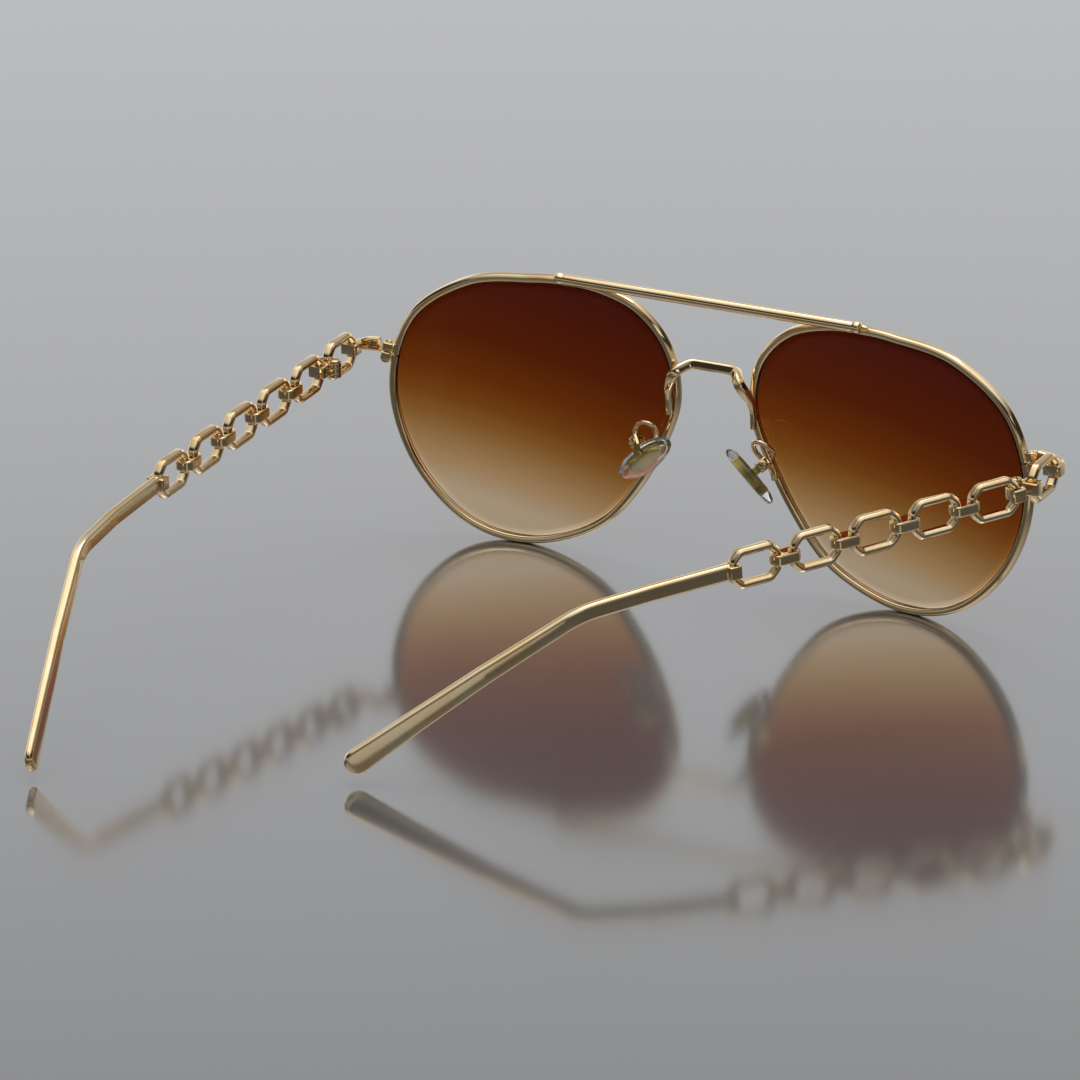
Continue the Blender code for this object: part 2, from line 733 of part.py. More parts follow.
def buildPadArm(side):
    """Bent wire from the back of the rim, looping up to the box."""
    back = screwSpot - padFace * (0.25 + boxSize / 2 + 2.4 * solderGap)
    corners = [armFoot, armFoot + Vector((-0.4, 0.45, 1.7)), armFoot + Vector((-3.4, 4.05, 7.3)),
               armFoot + Vector((-2.5, 4.85, 8.8)), back - padFace * 1.1 + Vector((0, 0, 0.5)), back]
    path = rounded([mirrored(side, c) for c in corners], 1.6, 3)
    return closedMesh(swept(path, (0, 1, 0), [circle(armWireRadius, 8)] * len(path)))


# assembly
addPart("brow_bar", buildBrowBar(), gold)
addPart("bridge", buildBridge(), gold)
anchors = {}
for side, word, fold in ((1, "left", leftFold), (-1, "right", rightFold)):
    addPart("rim_" + word, buildRim(side), gold)
    addPart("lens_" + word, buildLens(side), tint)
    addPart("rim_lock_upper_" + word, buildLock(side, True), gold)
    addPart("rim_lock_lower_" + word, buildLock(side, False), gold)
    addPart("rim_screw_" + word, buildLockScrew(side), screwGold)
    addPart("endpiece_" + word, buildEndpiece(side), gold)
    addPart("front_link_" + word, buildLink(side, 0.0), gold)
    addPart("front_hinge_" + word, buildHinge(side, True), gold)
    addPart("hinge_screw_" + word, buildHingeScrew(side), screwGold)
    addPart("pad_arm_" + word, buildPadArm(side), gold)
    addPart("pad_box_" + word, buildBox(side), gold)
    addPart("pad_screw_" + word, buildPadScrew(side), screwGold)

    rockSpot = mirrored(side, screwSpot)
    rock = emptyAt("pad_axis_" + word, rockSpot)
    anchors[rock.name] = rockSpot
    addPart("nose_pad_" + word, buildPad(side), silicone, rockSpot, rock)
    addPart("pad_core_" + word, buildCore(side), gold, rockSpot, rock)

    foldSpot = hingeSpot(side)
    axis = emptyAt("temple_axis_" + word, foldSpot, math.radians(fold) * side)
    anchors[axis.name] = foldSpot
    addPart("temple_hinge_" + word, buildHinge(side, False), gold, foldSpot, axis)
    for number in range(1, 6):
        addPart("temple_link_%d_%s" % (number, word), buildLink(side, number * linkPitch), gold, foldSpot, axis)
    for number in range(1, 5):
        addPart("link_band_%d_%s" % (number, word), buildBand(side, (number + 0.5) * linkPitch), gold,
                foldSpot, axis)
    addPart("temple_arm_" + word, buildArm(side), gold, foldSpot, axis)

# rest the object on the ground with its box centred on the origin
bpy.context.view_layer.update()
corners = [obj.matrix_world @ v.co for obj in bpy.data.objects if obj.type == "MESH" for v in obj.data.vertices]
low = [min(c[k] for c in corners) for k in range(3)]
high = [max(c[k] for c in corners) for k in range(3)]
root.location = (-(low[0] + high[0]) / 2, -(low[1] + high[1]) / 2, -low[2])
bpy.context.view_layer.update()
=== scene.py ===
import json
import math

import bmesh
import bpy
from mathutils import Matrix, Vector


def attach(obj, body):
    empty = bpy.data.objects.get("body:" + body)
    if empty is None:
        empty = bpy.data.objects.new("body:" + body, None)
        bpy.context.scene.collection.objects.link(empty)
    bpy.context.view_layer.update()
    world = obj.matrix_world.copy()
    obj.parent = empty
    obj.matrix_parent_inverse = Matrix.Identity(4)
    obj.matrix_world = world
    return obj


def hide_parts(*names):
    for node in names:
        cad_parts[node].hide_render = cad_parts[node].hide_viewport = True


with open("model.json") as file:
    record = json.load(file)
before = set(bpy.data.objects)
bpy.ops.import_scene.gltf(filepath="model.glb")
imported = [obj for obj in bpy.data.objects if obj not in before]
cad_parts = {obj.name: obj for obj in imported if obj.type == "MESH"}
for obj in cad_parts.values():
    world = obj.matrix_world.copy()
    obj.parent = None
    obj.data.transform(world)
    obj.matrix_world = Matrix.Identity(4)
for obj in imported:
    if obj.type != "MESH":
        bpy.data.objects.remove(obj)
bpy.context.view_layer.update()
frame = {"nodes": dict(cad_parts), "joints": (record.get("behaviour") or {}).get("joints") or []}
mm = 0.001
sides = ((1, "left"), (-1, "right"))

# bench frame: millimetres, x = 0 between the eyes, +y from the lenses to the temple tips
pin = {"x": 71.43, "y": 18.37, "z": 35.583, "rightFold": 31.4}
leftPin = next(Vector(j["pos_m"]) for j in frame["joints"] if j["name"] == "left_temple_fold")
toRow = Matrix.Translation(leftPin - Vector((pin["x"], pin["y"], pin["z"])) * mm) @ Matrix.Scale(mm, 4)


# Turn of a temple about its hinge pin in the pose the glasses stand in
def folded(word):
    if word == "left":
        return Matrix.Identity(4)
    spot = Vector((-pin["x"], pin["y"], 0))
    turn = Matrix.Rotation(math.radians(-pin["rightFold"]), 4, "Z")
    return Matrix.Translation(spot) @ turn @ Matrix.Translation(-spot)


# node trees

# A socket that can be used in an expression
class Val:
    def __init__(self, tree, socket):
        self.tree = tree
        self.socket = socket

    def calc(self, operation, *others, first=None):
        node = self.tree.nodes.new("ShaderNodeMath")
        node.operation = operation
        values = ([first] if first is not None else []) + [self] + list(others)
        for slot, value in zip(node.inputs, values):
            plug(self.tree, slot, value)
        return Val(self.tree, node.outputs[0])

    def __add__(self, other):
        return self.calc("ADD", other)

    def __sub__(self, other):
        return self.calc("SUBTRACT", other)

    def __rsub__(self, other):
        return self.calc("SUBTRACT", first=other)

    def __mul__(self, other):
        return self.calc("MULTIPLY", other)

    def __truediv__(self, other):
        return self.calc("DIVIDE", other)

    def __rtruediv__(self, other):
        return self.calc("DIVIDE", first=other)

    def __pow__(self, other):
        return self.calc("POWER", other)

    __radd__ = __add__
    __rmul__ = __mul__


def plug(tree, slot, value):
    if isinstance(value, Val):
        tree.links.new(value.socket, slot)
    elif value is not None:
        slot.default_value = value


# Builds the nodes of one tree
class Board:
    def __init__(self, tree):
        self.tree = tree

    def add(self, kind, settings=None, out=0, **values):
        node = self.tree.nodes.new(kind)
        for key, value in (settings or {}).items():
            if key == "stops":
                for spot, colour in value[len(node.color_ramp.elements):]:
                    node.color_ramp.elements.new(spot)
                for element, (spot, colour) in zip(node.color_ramp.elements, value):
                    element.position = spot
                    element.color = (*colour, 1.0)
            else:
                setattr(node, key, value)
        for key, value in values.items():
            slots = [s for s in node.inputs if s.enabled and s.name.replace(" ", "") == key]
            plug(self.tree, slots[0] if slots else node.inputs[int(key[1:])], value)
        return Val(self.tree, node.outputs[out])

    def parts(self, kind, vector):
        node = self.tree.nodes.new(kind)
        self.tree.links.new(vector.socket, node.inputs[0])
        return [Val(self.tree, s) for s in node.outputs]


# finishes

goldLook = {"pale": (0.98, 0.78, 0.49), "deep": (0.94, 0.66, 0.33), "smooth": 0.035, "dull": 0.12,
            "hairline": 0.035}
screwLook = {"pale": (0.80, 0.58, 0.30), "deep": (0.62, 0.41, 0.18), "smooth": 0.16, "dull": 0.30,
             "hairline": 0.06}
coreLook = {"pale": (0.47, 0.36, 0.09), "deep": (0.31, 0.22, 0.04), "smooth": 0.24, "dull": 0.40,
            "hairline": 0.05}
tintLook = {"low": 3.0, "high": 52.5, "lean": 0.20, "centre": 37.95}
siliconeLook = {"clear": (0.98, 0.98, 0.96), "cloudy": (0.92, 0.91, 0.87)}


def newMaterial(name):
    mat = bpy.data.materials.new(name)
    mat.use_nodes = True
    board = Board(mat.node_tree)
    shader = mat.node_tree.nodes["Principled BSDF"]
    return mat, board, shader


# Plated and polished metal with faint polishing hairlines and handling marks
def metalFinish(name, look):
    mat, board, shader = newMaterial(name)
    place = board.add("ShaderNodeTexCoord", out=3)
    cloud = board.add("ShaderNodeTexNoise", Vector=place, Scale=120.0, Detail=3.0, Roughness=0.55)
    stretched = board.add("ShaderNodeMapping", Vector=place, Scale=(1.0, 0.16, 1.3))
    lines = board.add("ShaderNodeTexNoise", Vector=stretched, Scale=5200.0, Detail=2.0, Roughness=0.6)
    pits = board.add("ShaderNodeTexNoise", Vector=place, Scale=2600.0, Detail=1.0)
    wear = board.add("ShaderNodeMapRange", Value=cloud, FromMin=0.35, FromMax=0.7)
    colour = board.add("ShaderNodeMix", {"data_type": "RGBA"}, out=2, Factor=wear)
    mix = colour.socket.node
    mix.inputs[6].default_value = (*look["pale"], 1.0)
    mix.inputs[7].default_value = (*look["deep"], 1.0)
    mat.node_tree.links.new(colour.socket, shader.inputs["Base Color"])
    rough = look["smooth"] + (look["dull"] - look["smooth"]) * (wear * 0.35 + lines * 0.25)
    mat.node_tree.links.new(rough.socket, shader.inputs["Roughness"])
    bump = board.add("ShaderNodeBump", Height=lines * 0.7 + pits * 0.3, Strength=look["hairline"],
                     Distance=0.00004)
    mat.node_tree.links.new(bump.socket, shader.inputs["Normal"])
    shader.inputs["Metallic"].default_value = 1.0
    return mat


# Sunglass tint that fades from dark brown at the brow to nearly clear at the cheek
def lensFinish():
    mat, board, shader = newMaterial("brown_gradient_lens")
    place = board.add("ShaderNodeTexCoord", out=3)
    x, y, z = board.parts("ShaderNodeSeparateXYZ", place)
    haze = board.add("ShaderNodeTexNoise", Vector=place, Scale=35.0, Detail=2.0)
    inward = x * 1000.0 - x.calc("SIGN") * tintLook["centre"]
    level = z * 1000.0 - inward * tintLook["lean"] + (haze - 0.5) * 1.2
    height = (level - tintLook["low"]) / (tintLook["high"] - tintLook["low"])
    shade = board.add("ShaderNodeValToRGB", {"stops": [
        (0.05, (0.94, 0.72, 0.47)), (0.16, (0.80, 0.50, 0.24)), (0.25, (0.63, 0.34, 0.12)),
        (0.33, (0.49, 0.21, 0.045)), (0.42, (0.37, 0.11, 0.013)), (0.52, (0.28, 0.058, 0.003)),
        (0.70, (0.18, 0.024, 0.0015)), (1.0, (0.11, 0.009, 0.001))]}, Fac=height)
    mat.node_tree.links.new(shade.socket, shader.inputs["Base Color"])
    shader.inputs["Transmission Weight"].default_value = 1.0
    shader.inputs["Roughness"].default_value = 0.0
    shader.inputs["IOR"].default_value = 1.33
    return mat


def siliconeFinish():
    mat, board, shader = newMaterial("clear_silicone_pad")
    place = board.add("ShaderNodeTexCoord", out=3)
    cloud = board.add("ShaderNodeTexNoise", Vector=place, Scale=420.0, Detail=3.0)
    colour = board.add("ShaderNodeMix", {"data_type": "RGBA"}, out=2, Factor=cloud)
    mix = colour.socket.node
    mix.inputs[6].default_value = (*siliconeLook["clear"], 1.0)
    mix.inputs[7].default_value = (*siliconeLook["cloudy"], 1.0)
    mat.node_tree.links.new(colour.socket, shader.inputs["Base Color"])
    rough = cloud * 0.05 + 0.01
    mat.node_tree.links.new(rough.socket, shader.inputs["Roughness"])
    ripple = board.add("ShaderNodeTexNoise", Vector=place, Scale=900.0, Detail=1.0)
    bump = board.add("ShaderNodeBump", Height=ripple, Strength=0.05, Distance=0.0001)
    mat.node_tree.links.new(bump.socket, shader.inputs["Normal"])
    shader.inputs["Transmission Weight"].default_value = 0.98
    shader.inputs["IOR"].default_value = 1.41
    return mat


gold = metalFinish("polished_pale_gold", goldLook)
screwGold = metalFinish("screw_head_gold", screwLook)
coreGold = metalFinish("pad_core_brass", coreLook)
lensTint = lensFinish()
silicone = siliconeFinish()
print("finishes ready")


# mesh helpers, all in bench millimetres

# Skin a row of equal rings into one closed shell
def ringMesh(name, rings, loop=False, capped=True):
    bm = bmesh.new()
    rows = [[bm.verts.new(p) for p in ring] for ring in rings]
    count = len(rows[0])
    pairs = list(zip(rows, rows[1:]))
    if loop:
        pairs.append((rows[-1], rows[0]))
    for a, b in pairs:
        for k in range(count):
            bm.faces.new((a[k], a[(k + 1) % count], b[(k + 1) % count], b[k]))
    if capped and not loop:
        bm.faces.new(rows[0])
        bm.faces.new(rows[-1])
    bmesh.ops.recalc_face_normals(bm, faces=bm.faces)
    mesh = bpy.data.meshes.new(name)
    bm.to_mesh(mesh)
    bm.free()
    return mesh


def joined(name, meshes):
    bm = bmesh.new()
    for mesh in meshes:
        bm.from_mesh(mesh)
    out = bpy.data.meshes.new(name)
    bm.to_mesh(out)
    bm.free()
    return out


# Put a bench mesh in the row frame and give it to its body
def seat(name, mesh, mat, body, nodes, crease=30.0, turn=None, row=False):
    if not row:
        mesh.transform(toRow @ turn if turn else toRow)
    mesh.materials.clear()
    mesh.materials.append(mat)
    for face in mesh.polygons:
        face.material_index = 0
    mesh.shade_smooth()
    mesh.set_sharp_from_angle(angle=math.radians(crease))
    obj = bpy.data.objects.new(name, mesh)
    bpy.context.collection.objects.link(obj)
    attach(obj, body)
    if nodes:
        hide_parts(*nodes)
    return obj


# Closed outline with every corner rounded
def softRing(points, radius, steps=2):
    out = []
    count = len(points)
    for k in range(count):
        a, b, c = (Vector(points[(k + j) % count]) for j in (-1, 0, 1))
        into, away = a - b, c - b
        reach = min(radius, 0.45 * into.length, 0.45 * away.length)
        p, q = b + into.normalized() * reach, b + away.normalized() * reach
        for step in range(steps + 1):
            t = step / steps
            out.append(p * (1 - t) ** 2 + b * 2 * t * (1 - t) + q * t * t)
    return out


def chamfered(halfA, halfB, cut):
    return [(halfA, halfB - cut), (halfA - cut, halfB), (cut - halfA, halfB), (-halfA, halfB - cut),
            (-halfA, cut - halfB), (cut - halfA, -halfB), (halfA - cut, -halfB), (halfA, cut - halfB)]


def roundedPath(points, radius, steps=10):
    out = [Vector(points[0])]
    for a, b, c in zip(points, points[1:], points[2:]):
        a, b, c = Vector(a), Vector(b), Vector(c)
        into, away = a - b, c - b
        bend = math.pi - into.angle(away)
        reach = min(radius * math.tan(bend / 2), 0.46 * into.length, 0.46 * away.length)
        p, q = b + into.normalized() * reach, b + away.normalized() * reach
        for k in range(steps + 1):
            t = k / steps
            out.append(p * (1 - t) ** 2 + b * 2 * t * (1 - t) + q * t * t)
    out.append(Vector(points[-1]))
    return out


# Same path with its points a steady step apart
def evenPath(path, step):
    out = []
    for a, b in zip(path, path[1:]):
        pieces = max(1, round((b - a).length / step))
        out += [a.lerp(b, k / pieces) for k in range(pieces)]
    return out + [path[-1]]


# Even out the bends of a wire
def smoothPath(path, rounds):
    for _ in range(rounds):
        middle = [a * 0.25 + b * 0.5 + c * 0.25 for a, b, c in zip(path, path[1:], path[2:])]
        path = [path[0]] + middle + [path[-1]]
    return path


# Section axes carried along a path without twist
def carried(path, up):
    up = Vector(up)
    ends = [path[0]] + list(path) + [path[-1]]
    frames = []
    for a, c in zip(ends, ends[2:]):
        tangent = (c - a).normalized()
        up = (up - tangent * up.dot(tangent)).normalized()
        frames.append((up, tangent.cross(up)))
    return frames


def swept(path, up, sections):
    return [[point + high * a + side * b for a, b in section]
            for point, (high, side), section in zip(path, carried(path, up), sections)]


def lathe(name, start, axis, stations, count=40):
    start, axis = Vector(start), Vector(axis).normalized()
    up = axis.orthogonal().normalized()
    side = axis.cross(up)
    turnRound = [2 * math.pi * k / count for k in range(count)]
    rings = [[start + axis * d + (up * math.cos(t) + side * math.sin(t)) * r for t in turnRound]
             for d, r in stations]
    return ringMesh(name, rings)


# Mirror a left-hand bench mesh for the right side
def flip(mesh, side):
    if side < 0:
        mesh.transform(Matrix.Diagonal((-1, 1, 1, 1)))
        mesh.flip_normals()
    return mesh


# geometry node helpers

# Tree with one named number input for each size
def newTree(name, sizes):
    tree = bpy.data.node_groups.new(name, "GeometryNodeTree")
    tree.interface.new_socket(name="Geometry", in_out="INPUT", socket_type="NodeSocketGeometry")
    tree.interface.new_socket(name="Geometry", in_out="OUTPUT", socket_type="NodeSocketGeometry")
    for label, value in sizes.items():
        kind = "NodeSocketInt" if isinstance(value, int) else "NodeSocketFloat"
        tree.interface.new_socket(name=label, in_out="INPUT", socket_type=kind).default_value = value
    entry = tree.nodes.new("NodeGroupInput")
    values = {s.name: Val(tree, s) for s in entry.outputs if s.name}
    return tree, Board(tree), values


def closeTree(tree, board, geometry, mat):
    real = board.add("GeometryNodeRealizeInstances", Geometry=geometry)
    painted = board.add("GeometryNodeSetMaterial", Geometry=real, Material=mat)
    tree.links.new(painted.socket, tree.nodes.new("NodeGroupOutput").inputs[0])


# Run a tree with these sizes on an object and keep the plain mesh
def grown(name, tree, sizes, source=None):
    host = bpy.data.objects.new(name, source or bpy.data.meshes.new(name))
    bpy.context.collection.objects.link(host)
    mod = host.modifiers.new(tree.name, "NODES")
    mod.node_group = tree
    for item in tree.interface.items_tree:
        if item.in_out == "INPUT" and item.name in sizes:
            mod[item.identifier] = sizes[item.name]
    graph = bpy.context.evaluated_depsgraph_get()
    mesh = bpy.data.meshes.new_from_object(host.evaluated_get(graph))
    bpy.data.objects.remove(host, do_unlink=True)
    bm = bmesh.new()
    bm.from_mesh(mesh)
    bmesh.ops.remove_doubles(bm, verts=bm.verts, dist=1e-5)
    bmesh.ops.recalc_face_normals(bm, faces=bm.faces)
    bm.to_mesh(mesh)
    bm.free()
    return mesh


# eye rims and lenses

eye = {"halfWidth": 30.4, "halfHeight": 27.55, "centreX": 37.95, "vertexY": -2.2, "curve": 150.0,
       "wrap": 4.6, "tilt": 1.35, "slitHeight": 35.1, "slit": 0.3}
rim = {"radial": 1.4, "axial": 1.9, "groove": 0.75, "grooveWidth": 0.95, "stations": 260}
lens = {"thickness": 1.7, "flange": 0.6, "rings": 22, "gap": 0.12}
eyeCorners = [(1.0, 0.05), (0.856, 0.591), (0.457, 0.906), (0.017, 0.986), (-0.21, 1.0),
              (-0.464, 0.983), (-0.727, 0.884), (-0.924, 0.658), (-1.0, 0.355), (-0.957, 0.048),
              (-0.737, -0.44), (-0.428, -0.817), (0.05, -1.0), (0.503, -0.898), (0.859, -0.499)]


# Even steps round the eye, starting and ending at the closing slit
def eyeShape(stations):
    fine = []
    count = len(eyeCorners)
    for k in range(count):
        a, b, c, d = (Vector(eyeCorners[(k + j) % count]) for j in (-1, 0, 1, 2))
        for step in range(40):
            t = step / 40
            spot = 0.5 * (2 * b + (c - a) * t + (2 * a - 5 * b + 4 * c - d) * t * t
                          + (3 * b - a - 3 * c + d) * t ** 3)
            fine.append(Vector((spot.x * eye["halfWidth"], spot.y * eye["halfHeight"])))
    first = next(k for k, p in enumerate(fine) if p.x > 0 and p.y + eye["halfHeight"] > eye["slitHeight"])
    fine = fine[first:] + fine[:first + 1]
    lengths = [0.0]
    for p, q in zip(fine, fine[1:]):
        lengths.append(lengths[-1] + (q - p).length)
    out = []
    at = 1
    for k in range(stations):
        want = eye["slit"] / 2 + (lengths[-1] - eye["slit"]) * k / (stations - 1)
        while lengths[at] < want:
            at += 1
        share = (want - lengths[at - 1]) / (lengths[at] - lengths[at - 1])
        out.append(fine[at - 1].lerp(fine[at], share))
    return out


eyeLine = eyeShape(rim["stations"])
eyeOut = []
for k in range(len(eyeLine)):
    step = eyeLine[(k + 1) % len(eyeLine)] - eyeLine[k - 1]
    eyeOut.append(Vector((step.y, -step.x)).normalized())
wrap, tilt = math.radians(eye["wrap"]), math.radians(eye["tilt"])
eyeU = Vector((math.cos(wrap), math.sin(wrap), 0))
flatW = Vector((-math.sin(wrap), math.cos(wrap), 0))
eyeV = Vector((0, 0, 1)) * math.cos(tilt) + flatW * math.sin(tilt)
eyeW = flatW * math.cos(tilt) - Vector((0, 0, 1)) * math.sin(tilt)
eyeCentre = Vector((eye["centreX"], eye["vertexY"], eye["halfHeight"]))
eyeMatrix = Matrix((eyeU, eyeV, eyeW)).transposed().to_4x4()
eyeMatrix.translation = eyeCentre


# Bench point of the left lens surface at a flat spot, lifted along its normal
def onEye(spot, lift=0.0):
    u, v = spot
    normal = Vector((-u / eye["curve"], -v / eye["curve"], 1)).normalized()
    sag = (u * u + v * v) / (2 * eye["curve"])
    return eyeMatrix @ Vector((u + normal.x * lift, v + normal.y * lift, sag + normal.z * lift))


# Poly curve for a tree to read
def flatCurve(name, points, closed):
    data = bpy.data.curves.new(name, "CURVE")
    data.dimensions = "3D"
    line = data.splines.new("POLY")
    line.points.add(len(points) - 1)
    for dot, p in zip(line.points, points):
        dot.co = (p[0], p[1], 0.0, 1.0)
    line.use_cyclic_u = closed
    return data


# Groove section swept round the eye, then laid on the lens curve
def rimTree():
    tree, board, size = newTree("eye_rim", {"Lens Curve": eye["curve"]})
    half = rim["axial"] / 2
    wide = rim["grooveWidth"] / 2
    deep = rim["groove"] - rim["radial"]
    section = [(0.0, -0.5), (0.0, 0.5), (-0.4, half), (0.25 - rim["radial"], half),
               (-rim["radial"], half - 0.22), (-rim["radial"], wide), (deep, wide - 0.07),
               (deep, 0.07 - wide), (-rim["radial"], -wide), (-rim["radial"], 0.22 - half),
               (0.25 - rim["radial"], -half), (-0.4, -half)]
    shape = bpy.data.objects.new("rim_section", flatCurve("rim_section", softRing(section, 0.12, 3), True))
    bpy.context.collection.objects.link(shape)
    profile = board.add("GeometryNodeObjectInfo", out=4, Object=shape)
    line = board.add("GeometryNodeSetCurveNormal", {"mode": "Z_UP"}, Curve=size["Geometry"])
    tube = board.add("GeometryNodeCurveToMesh", Curve=line, ProfileCurve=profile, FillCaps=True)
    place = board.add("GeometryNodeInputPosition")
    x, y, z = board.parts("ShaderNodeSeparateXYZ", place)
    sag = (x * x + y * y) / 2.0 / size["Lens Curve"]
    steep = (1.0 + (x * x + y * y) / size["Lens Curve"] / size["Lens Curve"]) ** 0.5
    lean = z / steep
    bent = board.add("ShaderNodeCombineXYZ", X=x - x / size["Lens Curve"] * lean,
                     Y=y - y / size["Lens Curve"] * lean, Z=sag + lean)
    laid = board.add("GeometryNodeSetPosition", Geometry=tube, Position=bent)
    closeTree(tree, board, laid, gold)
    return tree, shape


def makeRims():
    tree, shape = rimTree()
    for side, word in sides:
        line = flatCurve("rim_line", eyeLine, False)
        mesh = grown("rim_" + word, tree, {"Lens Curve": eye["curve"]}, line)
        mesh.transform(eyeMatrix)
        seat("eye_rim_" + word, flip(mesh, side), gold, "front", ["rim_" + word], 24.0)
    bpy.data.objects.remove(shape, do_unlink=True)


# Curved lens with a thin flange in the rim groove and a polished bevel at the rim
def makeLenses():
    edge = -rim["radial"] - lens["gap"]
    tip = rim["groove"] - rim["radial"] - 0.2
    half, flange = lens["thickness"] / 2, lens["flange"] / 2
    lip = [(edge - 0.28, half), (edge - 0.08, half - 0.07), (edge, half - 0.25), (edge, flange),
           (tip, flange - 0.08), (tip, 0.08 - flange), (edge, -flange), (edge, 0.25 - half),
           (edge - 0.08, 0.07 - half), (edge - 0.28, -half)]
    for side, word in sides:
        bm = bmesh.new()
        rows = [[bm.verts.new(onEye((0, 0), half))]]
        shares = [k / lens["rings"] for k in range(1, lens["rings"])]
        for share in shares:
            rows.append([bm.verts.new(onEye((p + n * edge) * share, half)) for p, n in zip(eyeLine, eyeOut)])
        for a, b in lip:
            rows.append([bm.verts.new(onEye(p + n * a, b)) for p, n in zip(eyeLine, eyeOut)])
        for share in reversed(shares):
            rows.append([bm.verts.new(onEye((p + n * edge) * share, -half)) for p, n in zip(eyeLine, eyeOut)])
        rows.append([bm.verts.new(onEye((0, 0), -half))])
        for a, b in zip(rows, rows[1:]):
            for k in range(len(eyeLine)):
                j = (k + 1) % len(eyeLine)
                corners = [a[k % len(a)], a[j % len(a)], b[j % len(b)], b[k % len(b)]]
                bm.faces.new(list(dict.fromkeys(corners)))
        bmesh.ops.recalc_face_normals(bm, faces=bm.faces)
        mesh = bpy.data.meshes.new("lens_" + word)
        bm.to_mesh(mesh)
        bm.free()
        seat("tinted_lens_" + word, flip(mesh, side), lensTint, "front", ["lens_" + word], 40.0)


# brow bar and bridge

brow = {"half": 32.2, "radius": 1.05, "bead": 1.16, "y": 2.65, "z": 55.4}
bridge = {"tall": 1.9, "deep": 1.8, "top": 42.7, "half": 4.8, "bend": 1.9, "edge": 0.3,
          "step": 0.3, "rounds": 12}


def makeBrowBar():
    ends = [(0.0, 0.30), (0.05, 0.62), (0.18, 0.88), (0.40, 1.07), (0.66, brow["bead"]), (1.20, brow["bead"]),
            (1.42, 1.10), (1.66, 0.99), (1.84, 0.985), (2.1, 1.02),
            (2.5, brow["radius"]), (8.0, brow["radius"])]
    stations = [(d - brow["half"], r) for d, r in ends]
    stations += [(brow["half"] - d, r) for d, r in reversed(ends)]
    mesh = lathe("brow_bar", (0, brow["y"], brow["z"]), (1, 0, 0), stations, 56)
    seat("brow_bar_tube", mesh, gold, "front", ["brow_bar"])


def makeBridge():
    middle = bridge["top"] - bridge["tall"] / 2
    right = [(bridge["half"], -0.4, middle), (6.9, 3.1, 40.65), (8.75, 1.35, 36.9), (8.95, 0.7, 34.4),
             (8.95, 0.45, 31.3)]
    corners = [(-x, y, z) for x, y, z in reversed(right)] + right
    path = evenPath(roundedPath(corners, bridge["bend"], 14), bridge["step"])
    path = smoothPath(path, bridge["rounds"])
    full = softRing(chamfered(bridge["tall"] / 2, bridge["deep"] / 2, bridge["edge"]), 0.12)
    leg = softRing(chamfered(0.52, 0.62, 0.2), 0.12)
    sections = []
    for point in path:
        share = min(1.0, max(0.0, (point.z - 35.2) / 4.0))
        sections.append([a * share + b * (1 - share) for a, b in zip(full, leg)])
    mesh = ringMesh("bridge", swept(path, (1, 0, 0), sections))
    seat("bridge_strip", mesh, gold, "front", ["bridge"], 34.0)


# chain of each temple

chain = {"x": 73.95, "y": 12.17, "z": 35.98, "yaw": 0.47, "drop": 3.66, "pitch": 12.69}
link = {"length": 10.7, "height": 7.65, "depth": 2.0, "bar": 1.42, "corner": 1.55, "crest": 0.46, "turn": 1.3,
        "ease": 0.26}
band = {"bar": 1.25, "wall": 0.55, "deep": 3.5, "tall": 2.0, "round": 1.55, "seat": 0.12, "ease": 0.09}
chainYaw, chainDrop = math.radians(chain["yaw"]), math.radians(chain["drop"])
alongChain = Vector((-math.sin(chainYaw) * math.cos(chainDrop), math.cos(chainYaw) * math.cos(chainDrop),
                     -math.sin(chainDrop)))
acrossChain = Vector((math.cos(chainYaw), math.sin(chainYaw), 0))
upChain = acrossChain.cross(alongChain)
chainMatrix = Matrix((alongChain, upChain, acrossChain)).transposed().to_4x4()
chainMatrix.translation = Vector((chain["x"], chain["y"], chain["z"]))
barReach = link["length"] / 2 - band["bar"] / 2
bandReach = band["bar"] / 2 + band["seat"] + band["wall"]
gapHalf = chain["pitch"] / 2 - barReach


# Eight-sided ring with a crested section, repeated along the chain
def linkTree():
    tree, board, size = newTree("chain_links", {"Length": 10.7, "Height": 7.65, "Depth": 2.0, "Bar": 1.25,
                                                "Corner": 1.6, "Crest": 0.46, "Turn": 1.3, "Ease": 0.26,
                                                "Pitch": 12.69, "Count": 5})
    outline = board.add("GeometryNodeCurvePrimitiveQuadrilateral", Width=size["Length"] - size["Bar"],
                        Height=size["Height"] - size["Bar"])
    cut = board.add("GeometryNodeFilletCurve", {"mode": "POLY"}, Curve=outline, Count=1,
                    Radius=size["Corner"],
                    LimitRadius=True)
    soft = board.add("GeometryNodeFilletCurve", {"mode": "POLY"}, Curve=cut, Count=7, Radius=size["Turn"],
                     LimitRadius=True)
    section = board.add("GeometryNodeCurvePrimitiveQuadrilateral", Width=size["Bar"], Height=size["Depth"])
    crest = board.add("GeometryNodeFilletCurve", {"mode": "POLY"}, Curve=section, Count=1,
                      Radius=size["Crest"],
                      LimitRadius=True)
    eased = board.add("GeometryNodeFilletCurve", {"mode": "POLY"}, Curve=crest, Count=4, Radius=size["Ease"],
                      LimitRadius=True)
    upright = board.add("GeometryNodeSetCurveNormal", {"mode": "Z_UP"}, Curve=soft)
    ring = board.add("GeometryNodeCurveToMesh", Curve=upright, ProfileCurve=eased)
    step = board.add("ShaderNodeCombineXYZ", X=size["Pitch"])
    spots = board.add("GeometryNodeMeshLine", Count=size["Count"], Offset=step)
    copies = board.add("GeometryNodeInstanceOnPoints", Points=spots, Instance=ring)
    closeTree(tree, board, copies, gold)
    return tree


